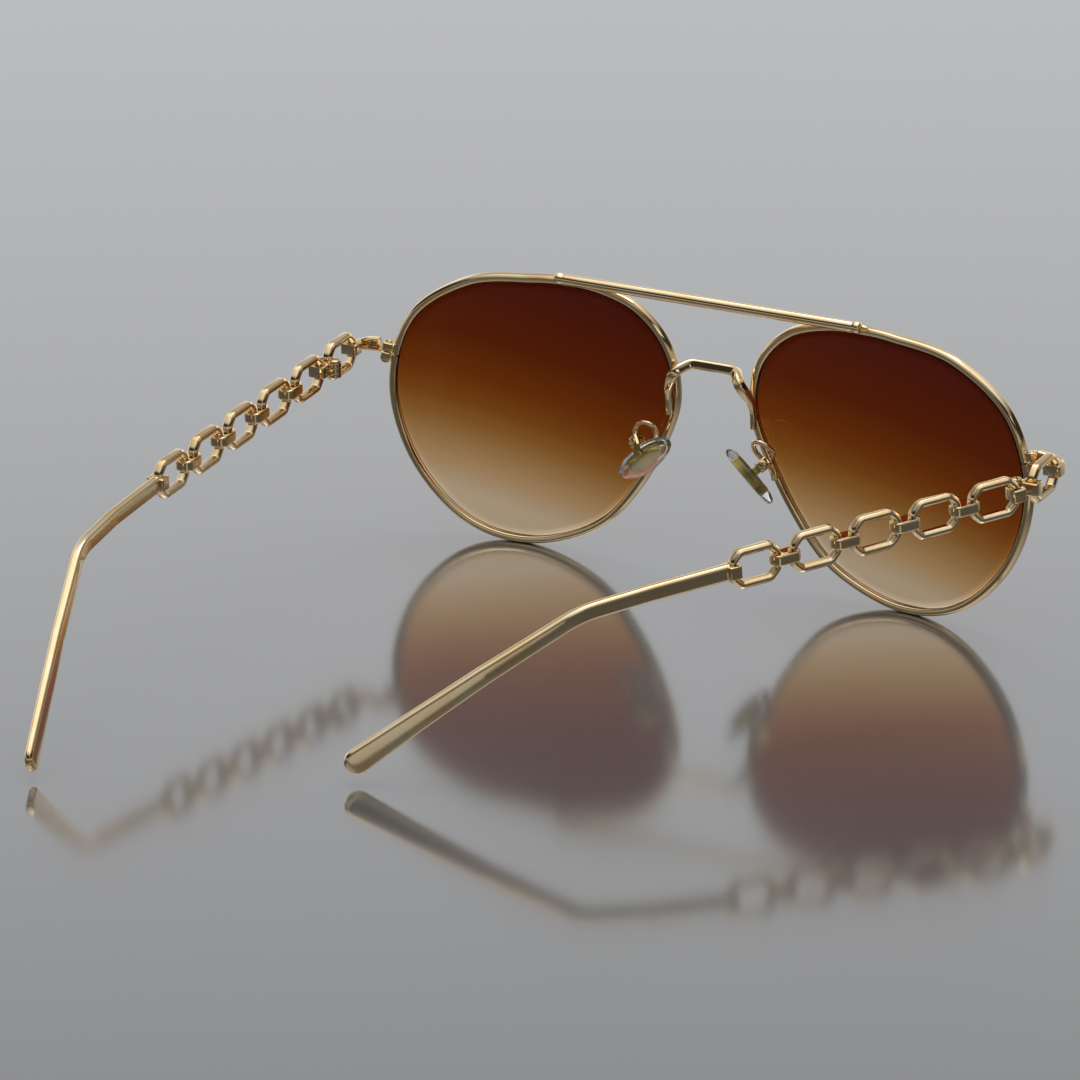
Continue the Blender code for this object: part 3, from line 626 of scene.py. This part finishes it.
# Rounded block with eased top and bottom edges, repeated along the chain
def bandTree():
    tree, board, size = newTree("chain_bands", {"Long": 4.0, "Deep": 3.5, "Tall": 2.0, "Round": 1.0,
                                                "Ease": 0.10, "Pitch": 12.69, "Count": 4})
    outline = board.add("GeometryNodeCurvePrimitiveQuadrilateral", Width=size["Long"], Height=size["Deep"])
    shape = board.add("GeometryNodeFilletCurve", {"mode": "POLY"}, Curve=outline, Count=8,
                      Radius=size["Round"],
                      LimitRadius=True)
    foot = board.add("ShaderNodeCombineXYZ", Z=size["Tall"] * -0.5)
    head = board.add("ShaderNodeCombineXYZ", Z=size["Tall"] * 0.5)
    post = board.add("GeometryNodeCurvePrimitiveLine", Start=foot, End=head)
    rungs = board.add("GeometryNodeResampleCurve", Curve=post, Count=25)
    share = board.add("GeometryNodeSplineParameter")
    pull = (share * 2.0 - 1.0).calc("ABSOLUTE") ** 9.0
    block = board.add("GeometryNodeCurveToMesh", Curve=rungs, ProfileCurve=shape,
                      Scale=1.0 - pull * size["Ease"],
                      FillCaps=True)
    step = board.add("ShaderNodeCombineXYZ", X=size["Pitch"])
    spots = board.add("GeometryNodeMeshLine", Count=size["Count"], Offset=step)
    copies = board.add("GeometryNodeInstanceOnPoints", Points=spots, Instance=block)
    closeTree(tree, board, copies, gold)
    return tree


def makeChains():
    links, bands = linkTree(), bandTree()
    sizes = {"Length": link["length"], "Height": link["height"], "Depth": link["depth"], "Bar": link["bar"],
             "Corner": link["corner"], "Crest": link["crest"], "Turn": link["turn"], "Ease": link["ease"],
             "Pitch": chain["pitch"]}
    blocks = {"Long": 2 * (gapHalf + bandReach), "Deep": band["deep"], "Tall": band["tall"],
              "Round": band["round"], "Ease": band["ease"], "Pitch": chain["pitch"], "Count": 4}
    lying = Matrix.Rotation(math.radians(-90), 4, "X")      # block height onto the link height
    for side, word in sides:
        first = grown("front_link", links, {**sizes, "Count": 1})
        first.transform(chainMatrix)
        seat("chain_link_front_" + word, flip(first, side), gold, "front", ["front_link_" + word],
             26.0)
        rest = grown("temple_links", links, {**sizes, "Count": 5})
        rest.transform(chainMatrix @ Matrix.Translation((chain["pitch"], 0, 0)))
        seat("chain_links_" + word, flip(rest, side), gold, word + "_temple",
             ["temple_link_%d_%s" % (n, word) for n in range(1, 6)], 26.0, folded(word))
        ties = grown("temple_bands", bands, blocks)
        ties.transform(chainMatrix @ Matrix.Translation((1.5 * chain["pitch"], 0, 0)) @ lying)
        seat("chain_bands_" + word, flip(ties, side), gold, word + "_temple",
             ["link_band_%d_%s" % (n, word) for n in range(1, 5)], 34.0, folded(word))


# temple arms

arm = {"thick": 1.9, "tall": 3.1, "tipThick": 1.5, "tipTall": 5.2, "edge": 0.42, "bend": 14.0,
       "bandTall": 2.4}
armCorners = [(72.8, 97.0, 30.3), (71.7, 110.5, 28.6), (66.3, 127.0, 18.5), (62.3, 138.5, 10.8),
              (58.1, 150.4, 2.6)]


def onChain(s, n, h):
    return chainMatrix @ Vector((s, h, n))


# Band round one link bar, with softened edges
def blockMesh(name, middle, halfLong, tall, corner, ease=0.13):
    quad = [(halfLong, band["deep"] / 2), (-halfLong, band["deep"] / 2), (-halfLong, -band["deep"] / 2),
            (halfLong, -band["deep"] / 2)]
    outline = softRing(quad, corner, 5)
    heights = [(-tall / 2 + ease * (1 - math.cos(a)), ease * (1 - math.sin(a)))
               for a in (0, 0.39, 0.79, 1.18, 1.57)]
    heights += [(-h, inset) for h, inset in reversed(heights)]
    loops = []
    for h, inset in heights:
        slim = 1 - inset / halfLong
        shallow = 1 - inset / (band["deep"] / 2)
        loops.append([onChain(middle + p.x * slim, p.y * shallow, h) for p in outline])
    return ringMesh(name, loops)


def makeArms():
    bar = 5 * chain["pitch"] + barReach
    for side, word in sides:
        path = roundedPath([onChain(bar + 0.8, 0.0, 0.0)] + armCorners, arm["bend"], 20)
        fine = []
        for a, b in zip(path, path[1:]):
            pieces = max(1, int((b - a).length / 2.5))
            fine += [a.lerp(b, k / pieces) for k in range(pieces)]
        fine.append(path[-1])
        lengths = [0.0]
        for p, q in zip(fine, fine[1:]):
            lengths.append(lengths[-1] + (q - p).length)
        total = lengths[-1]
        half = arm["tipTall"] / 2
        spots = [d for d in lengths if d < total - half * 1.3]
        spots += [total - half * (1 - math.sin(math.radians(a))) for a in range(0, 91, 6)]
        stations, sections = [], []
        for d in spots:
            at = max(j for j in range(len(lengths) - 1) if lengths[j] <= d + 1e-9)
            share = (d - lengths[at]) / (lengths[at + 1] - lengths[at])
            stations.append(fine[at].lerp(fine[at + 1], share))
            grow = max(0.0, (d / total - 0.35) / 0.65) ** 1.8
            high = (arm["tall"] + (arm["tipTall"] - arm["tall"]) * grow) / 2
            thick = (arm["thick"] + (arm["tipThick"] - arm["thick"]) * grow) / 2
            left = (total - d) / half
            if left < 1.0:
                high *= math.sqrt(1 - (1 - left) ** 2) * 0.9 + 0.1
                thick *= 0.62 + 0.38 * math.sqrt(min(1.0, left * 2.5))
            sections.append(softRing(chamfered(high, thick, min(arm["edge"], high * 0.4)), 0.16, 3))
        wire = ringMesh("arm", swept(stations, (0, 0, 1), sections))
        collar = blockMesh("collar", bar, bandReach, arm["bandTall"], 0.45)
        mesh = joined("temple_arm_" + word, [wire, collar])
        seat("temple_arm_wire_" + word, flip(mesh, side), gold, word + "_temple", ["temple_arm_" + word],
             34.0, folded(word))


# end pieces

strap = {"thick": 1.5, "tall": 2.7, "edge": 0.3}
lock = {"radial": 1.9, "tall": 1.7, "gap": 0.15}
slitSpot = (eyeLine[0] + eyeLine[-1]) / 2
slitOut = eyeOut[0]
slitAlong = Vector((-slitOut.y, slitOut.x))
if slitAlong.y < 0:
    slitAlong = -slitAlong


# Forged strap from the upper rim lock round the corner to the first link
def makeEndpieces():
    bar = -barReach
    here = onEye(slitSpot)
    out = (onEye(slitSpot + slitOut) - here).normalized()
    along = (onEye(slitSpot + slitAlong) - here).normalized()
    begin = here + out * (2 * lock["gap"] + lock["radial"] + 0.45)
    begin += along * (eye["slit"] / 2 + lock["tall"] / 2 + 0.1)
    corner = onChain(bar - bandReach - 0.2, 0.2, -0.2)
    path = roundedPath([begin, begin + Vector((2.6, 0.1, -0.2)), corner + Vector((-0.5, -1.9, -0.15)), corner,
                        onChain(bar - 0.75, 0.2, -0.1)], 2.0, 10)
    thick = softRing(chamfered(strap["tall"] / 2, strap["thick"] / 2, strap["edge"]), 0.16, 3)
    slim = softRing(chamfered(band["tall"] / 2, strap["thick"] / 2, 0.25), 0.16, 3)
    sections = []
    for k in range(len(path)):
        share = k / (len(path) - 1)
        sections.append([a * (1 - share) + b * share for a, b in zip(thick, slim)])
    for side, word in sides:
        sweep = ringMesh("strap", swept(path, (0, 0, 1), sections))
        collar = blockMesh("collar", bar, bandReach, band["tall"] + 0.2, 0.45)
        mesh = joined("endpiece_" + word, [sweep, collar])
        seat("endpiece_strap_" + word, flip(mesh, side), gold, "front", ["endpiece_" + word],
             34.0)


# small turned and milled pieces

# The milled piece with its edges broken
def eased(node, name, mat, body, slot, bevel=0.07, crease=30.0):
    source = frame["nodes"][node].data
    bm = bmesh.new()
    bm.from_mesh(source)
    bmesh.ops.remove_doubles(bm, verts=bm.verts, dist=1e-6)
    bmesh.ops.dissolve_limit(bm, angle_limit=math.radians(1.0), verts=bm.verts, edges=bm.edges)
    mesh = bpy.data.meshes.new(name)
    bm.to_mesh(mesh)
    bm.free()
    host = bpy.data.objects.new(name, mesh)
    bpy.context.collection.objects.link(host)
    mod = host.modifiers.new("edges", "BEVEL")
    mod.width = bevel * mm
    mod.segments = 3
    mod.limit_method = "ANGLE"
    mod.angle_limit = math.radians(crease)
    mod.use_clamp_overlap = True
    mod.harden_normals = False
    graph = bpy.context.evaluated_depsgraph_get()
    smooth = bpy.data.meshes.new_from_object(host.evaluated_get(graph))
    bpy.data.objects.remove(host, do_unlink=True)
    return seat(name, smooth, mat, body, [node], 32.0, row=True)


def makeSmallParts():
    for side, word in sides:
        eased("rim_lock_upper_" + word, "rim_lock_top_" + word, gold, "front", "polished_gold")
        eased("rim_lock_lower_" + word, "rim_lock_base_" + word, gold, "front", "polished_gold")
        eased("rim_screw_" + word, "rim_lock_screw_" + word, screwGold, "front", "screw_gold", 0.03)
        eased("front_hinge_" + word, "hinge_front_half_" + word, gold, "front", "polished_gold", 0.06)
        eased("temple_hinge_" + word, "hinge_temple_half_" + word, gold, word + "_temple",
              "polished_gold", 0.06)
        eased("pad_box_" + word, "pad_swivel_box_" + word, gold, "front", "polished_gold", 0.06)
        eased("pad_core_" + word, "pad_core_plate_" + word, coreGold, word + "_pad", "polished_gold", 0.05)


screwTreeSizes = {"Head Radius": 1.12, "Head Height": 0.5, "Shank Radius": 0.5, "Shank Length": 3.0,
                  "Slot Width": 0.32, "Slot Depth": 0.24}


# Domed screw with a cross slot, head up, standing on the top of its shank
def screwTree():
    tree, board, size = newTree("slotted_screw", screwTreeSizes)
    section = board.add("GeometryNodeCurvePrimitiveCircle", Resolution=48, Radius=1.0)
    top = board.add("ShaderNodeCombineXYZ", Z=size["Head Height"])
    headLine = board.add("GeometryNodeCurvePrimitiveLine", Start=(0.0, 0.0, 0.0), End=top)
    headRungs = board.add("GeometryNodeResampleCurve", Curve=headLine, Count=24)
    share = board.add("GeometryNodeSplineParameter")
    dome = (1.0 - share ** 3.2 * 0.9) ** 0.5 - (1.0 - share).calc("MAXIMUM", 0.0) ** 12.0 * 0.05
    head = board.add("GeometryNodeCurveToMesh", Curve=headRungs, ProfileCurve=section,
                     Scale=dome * size["Head Radius"], FillCaps=True)
    wide = board.add("ShaderNodeCombineXYZ", X=size["Head Radius"] * 4.0, Y=size["Slot Width"],
                     Z=size["Slot Depth"] * 2.0)
    blade = board.add("GeometryNodeMeshCube", Size=wide)
    high = board.add("ShaderNodeCombineXYZ", Z=size["Head Height"])
    raised = board.add("GeometryNodeTransform", Geometry=blade, Translation=high)
    slotted = board.add("GeometryNodeMeshBoolean", {"operation": "DIFFERENCE", "solver": "EXACT"},
                        s0=head, s1=raised)
    low = board.add("ShaderNodeCombineXYZ", Z=size["Shank Length"] * -1.0)
    shankLine = board.add("GeometryNodeCurvePrimitiveLine", Start=low, End=(0.0, 0.0, 0.0))
    shankRungs = board.add("GeometryNodeResampleCurve", Curve=shankLine, Count=12)
    point = 1.0 - (1.0 - board.add("GeometryNodeSplineParameter")) ** 10.0 * 0.3
    shank = board.add("GeometryNodeCurveToMesh", Curve=shankRungs, ProfileCurve=section,
                      Scale=point * size["Shank Radius"], FillCaps=True)
    whole = board.add("GeometryNodeJoinGeometry", Geometry=slotted)
    tree.links.new(shank.socket, whole.socket.node.inputs[0])
    closeTree(tree, board, whole, screwGold)
    return tree


pad = {"x": 11.0, "y": 5.95, "z": 23.9, "long": 13.2, "wide": 7.0, "thick": 2.2, "box": 2.6, "wire": 0.5,
       "stand": 3.1, "shift": 0.8}
padAlong = Vector((0.69, -0.07, -0.72)).normalized()
padAcross = Vector((0.447, 0.827, 0.342))
padAcross = (padAcross - padAlong * padAcross.dot(padAlong)).normalized()
padFace = padAcross.cross(padAlong)
padCentre = Vector((pad["x"], pad["y"], pad["z"]))
padPivot = padCentre - padFace * pad["stand"] + padAcross * pad["shift"]


# Matrix that stands a screw at a spot with its head along an axis
def standing(spot, axis, turn):
    facing = axis.to_track_quat("Z", "Y").to_matrix().to_4x4()
    return Matrix.Translation(spot) @ facing @ Matrix.Rotation(turn, 4, "Z")


def makeScrews():
    tree = screwTree()
    pinTop = pin["z"] + 1.5 * 2.9 / 3 + 0.08
    padHead = pad["box"] / 2 + 0.12
    for side, word in sides:
        hinge = grown("hinge_screw", tree, {"Head Radius": 1.12, "Head Height": 0.5, "Shank Radius": 0.5,
                                            "Shank Length": pinTop - pin["z"] + 1.45, "Slot Width": 0.32,
                                            "Slot Depth": 0.24})
        hinge.transform(standing(Vector((pin["x"], pin["y"], pinTop)), Vector((0, 0, 1)), 0.9))
        seat("hinge_pin_screw_" + word, flip(hinge, side), screwGold, "front", ["hinge_screw_" + word])
        rock = grown("pad_screw", tree, {"Head Radius": 0.95, "Head Height": 0.42, "Shank Radius": 0.4,
                                         "Shank Length": 2 * padHead, "Slot Width": 0.24, "Slot Depth": 0.2})
        rock.transform(standing(padPivot + padAcross * padHead, padAcross, 0.4))
        seat("pad_swivel_screw_" + word, flip(rock, side), screwGold, "front", ["pad_screw_" + word])


# nose pads

def padOutline(halfA, halfB, count=72):
    out = []
    for k in range(count):
        angle = 2 * math.pi * k / count
        x = math.copysign(abs(math.cos(angle)) ** 0.85, math.cos(angle))
        y = math.copysign(abs(math.sin(angle)) ** 0.85, math.sin(angle))
        out.append((halfA * x, halfB * y * (1 + 0.12 * x)))
    return out


def makePads():
    half = pad["thick"] / 2
    layers = [(-half, 0.50), (-half + 0.03, 0.70), (-half + 0.12, 0.80), (-half + 0.28, 0.87),
              (-half + 0.55, 0.93), (-0.15, 0.985), (0.15, 1.0), (half * 0.45, 0.985), (half * 0.68, 0.93),
              (half * 0.85, 0.85), (half * 0.95, 0.72), (half * 0.99, 0.52), (half, 0.3)]
    for side, word in sides:
        shape = padOutline(pad["long"] / 2, pad["wide"] / 2)
        rings = [[padCentre + padAlong * a * g + padAcross * b * g + padFace * c for a, b in shape]
                 for c, g in layers]
        mesh = ringMesh("nose_pad", rings)
        seat("silicone_pad_" + word, flip(mesh, side), silicone, word + "_pad", ["nose_pad_" + word],
             60.0)


padArm = {"bend": 2.6, "step": 0.2, "rounds": 30, "lead": 1.0,
          "corners": [(13.0, -0.35, 21.5), (12.7, 0.0, 23.4), (10.4, 2.8, 27.8), (10.5, 4.1, 30.1),
                      (13.0, 4.4, 30.4)]}


# Wire from the back of the rim, looped up to the swivel box
def makePadArms():
    back = padPivot - padFace * (0.25 + pad["box"] / 2 + 0.36)
    corners = padArm["corners"] + [back - padFace * padArm["lead"] + Vector((0, 0, 0.5)), back]
    path = evenPath(roundedPath(corners, padArm["bend"], 14), padArm["step"])
    path = smoothPath(path, padArm["rounds"])
    ring = [(pad["wire"] * math.cos(math.pi * k / 10), pad["wire"] * math.sin(math.pi * k / 10))
            for k in range(20)]
    for side, word in sides:
        mesh = ringMesh("pad_arm", swept(path, (0, 1, 0), [ring] * len(path)))
        seat("pad_arm_wire_" + word, flip(mesh, side), gold, "front", ["pad_arm_" + word],
             50.0)


# solder fillets where the front pieces meet the rims

solder = {"brow": (0.55, 1.5), "padArm": (0.62, 0.9), "lock": (0.55, 0.8)}


# Small uneven drop of solder, longer along one direction
def bead(name, spot, axis, wide, long, seed):
    axis = Vector(axis).normalized()
    stations = []
    for k in range(13):
        t = math.pi * k / 12
        lump = 1.0 + 0.07 * math.sin(3.0 * t + seed)
        stations.append((-long * math.cos(t), max(0.02, wide * lump * math.sin(t))))
    return lathe(name, spot, axis, stations, 28)


def makeSolder():
    wideW, longW = solder["brow"]
    wideP, longP = solder["padArm"]
    wideL, longL = solder["lock"]
    top = onEye((-0.2 * eye["halfWidth"], eye["halfHeight"]))
    here = onEye(slitSpot)
    out = (onEye(slitSpot + slitOut) - here).normalized()
    along = (onEye(slitSpot + slitAlong) - here).normalized()
    for side, word in sides:
        dots = [bead("brow", (top.x, top.y + 1.05, top.z + 0.12), (1, 0, 0), wideW, longW, 2.6),
                bead("pad_foot", (13.1, -0.5, 22.2), (-0.1, 0.2, 1), wideP, longP, 3.3),
                bead("lock_up", here + out * 0.15 + along * 1.0, along, wideL, longL, 0.9),
                bead("lock_low", here + out * 0.15 - along * 1.0, along, wideL, longL, 2.2)]
        seat("solder_fillets_" + word, flip(joined("solder", dots), side), gold, "front", [],
             60.0)


makeRims()
makeLenses()
print("rims and lenses glazed")
makeBrowBar()
makeBridge()
makeEndpieces()
makeSolder()
print("front soldered up")
makeChains()
makeArms()
print("temples linked")
makeSmallParts()
makeScrews()
makePads()
makePadArms()
print("hinges and pads fitted")


# floor, light and camera

studio = {"floor": (0.425, 0.43, 0.44), "gloss": 0.76, "blur": 0.10, "backdrop": (0.476, -0.880),
          "air": (0.99, 0.995, 1.0)}
roomLight = [(0.0, 0.40), (0.10, 0.34), (0.20, 0.03), (0.50, 0.03), (0.72, 0.55), (0.95, 1.25)]
backLight = [(0.0, 0.25), (0.14, 0.85), (0.26, 1.0), (0.33, 0.82), (0.42, 0.46), (0.56, 0.30), (0.75, 0.0)]
stand = {"spot": (-0.59812, 1.10096, 0.48647), "lens": 246.48, "right": (-0.8797, -0.4756, 0.0),
         "back": (-0.4470, 0.8268, 0.3416), "roll": -0.07}


def makeFloor():
    mesh = bpy.data.meshes.new("floor")
    reach = 6.0
    mesh.from_pydata([(-reach, -reach, 0), (reach, -reach, 0), (reach, reach, 0), (-reach, reach, 0)], [],
                     [(0, 1, 2, 3)])
    mat, board, shader = newMaterial("pale_floor")
    place = board.add("ShaderNodeTexCoord", out=3)
    cloud = board.add("ShaderNodeTexNoise", Vector=place, Scale=9.0, Detail=2.0)
    rough = cloud * 0.02 + studio["blur"]
    mat.node_tree.links.new(rough.socket, shader.inputs["Roughness"])
    shader.inputs["Base Color"].default_value = (*studio["floor"], 1.0)
    shader.inputs["Metallic"].default_value = studio["gloss"]
    mesh.materials.append(mat)
    floor = bpy.data.objects.new("floor", mesh)
    bpy.context.collection.objects.link(floor)


def softbox(name, spot, aim, size, power, tint=(1.0, 1.0, 1.0)):
    data = bpy.data.lights.new(name, "AREA")
    data.shape = "RECTANGLE"
    data.size, data.size_y = size
    data.energy = power
    data.color = tint
    lamp = bpy.data.objects.new(name, data)
    bpy.context.collection.objects.link(lamp)
    lamp.location = spot
    lamp.rotation_euler = (Vector(aim) - Vector(spot)).to_track_quat("-Z", "Y").to_euler()


def makeLights():
    world = bpy.data.worlds.new("studio")
    world.use_nodes = True
    board = Board(world.node_tree)
    way = board.add("ShaderNodeTexCoord")
    x, y, z = board.parts("ShaderNodeSeparateXYZ", way)
    across, along = studio["backdrop"]
    facing = board.add("ShaderNodeMapRange", {"interpolation_type": "SMOOTHSTEP"}, FromMin=0.15, FromMax=0.80,
                       Value=x * across + y * along)
    room = board.add("ShaderNodeValToRGB", {"stops": [(h, (v, v, v)) for h, v in roomLight]}, Fac=z)
    back = board.add("ShaderNodeValToRGB", {"stops": [(h, (v, v, v)) for h, v in backLight]}, Fac=z)
    sky = world.node_tree.nodes["Background"]
    sky.inputs["Color"].default_value = (*studio["air"], 1.0)
    world.node_tree.links.new((room * 1.0 + facing * back * 0.96).socket, sky.inputs["Strength"])
    bpy.context.scene.world = world
    softbox("top_bank", (0.15, -0.45, 1.2), (0.0, 0.0, 0.0), (0.8, 0.5), 3.0, (1.0, 0.98, 0.95))
    softbox("side_card", (-1.13, 1.13, 0.75), (0.0, 0.0, 0.03), (0.55, 0.35), 0.5)


def makeCamera():
    data = bpy.data.cameras.new("camera")
    data.lens = stand["lens"]
    data.sensor_width = 36.0
    data.clip_start = 0.05
    data.clip_end = 30.0
    cam = bpy.data.objects.new("camera", data)
    bpy.context.collection.objects.link(cam)
    right = Vector(stand["right"]).normalized()
    back = Vector(stand["back"])
    back = (back - right * back.dot(right)).normalized()
    turn = Matrix((right, back.cross(right), back)).transposed().to_4x4()
    turn.translation = Vector(stand["spot"])
    bpy.context.scene.view_settings.view_transform = "Standard"
    cam.matrix_world = turn @ Matrix.Rotation(math.radians(stand["roll"]), 4, "Z")
    bpy.context.scene.camera = cam


makeFloor()
makeLights()
makeCamera()
print("studio set")
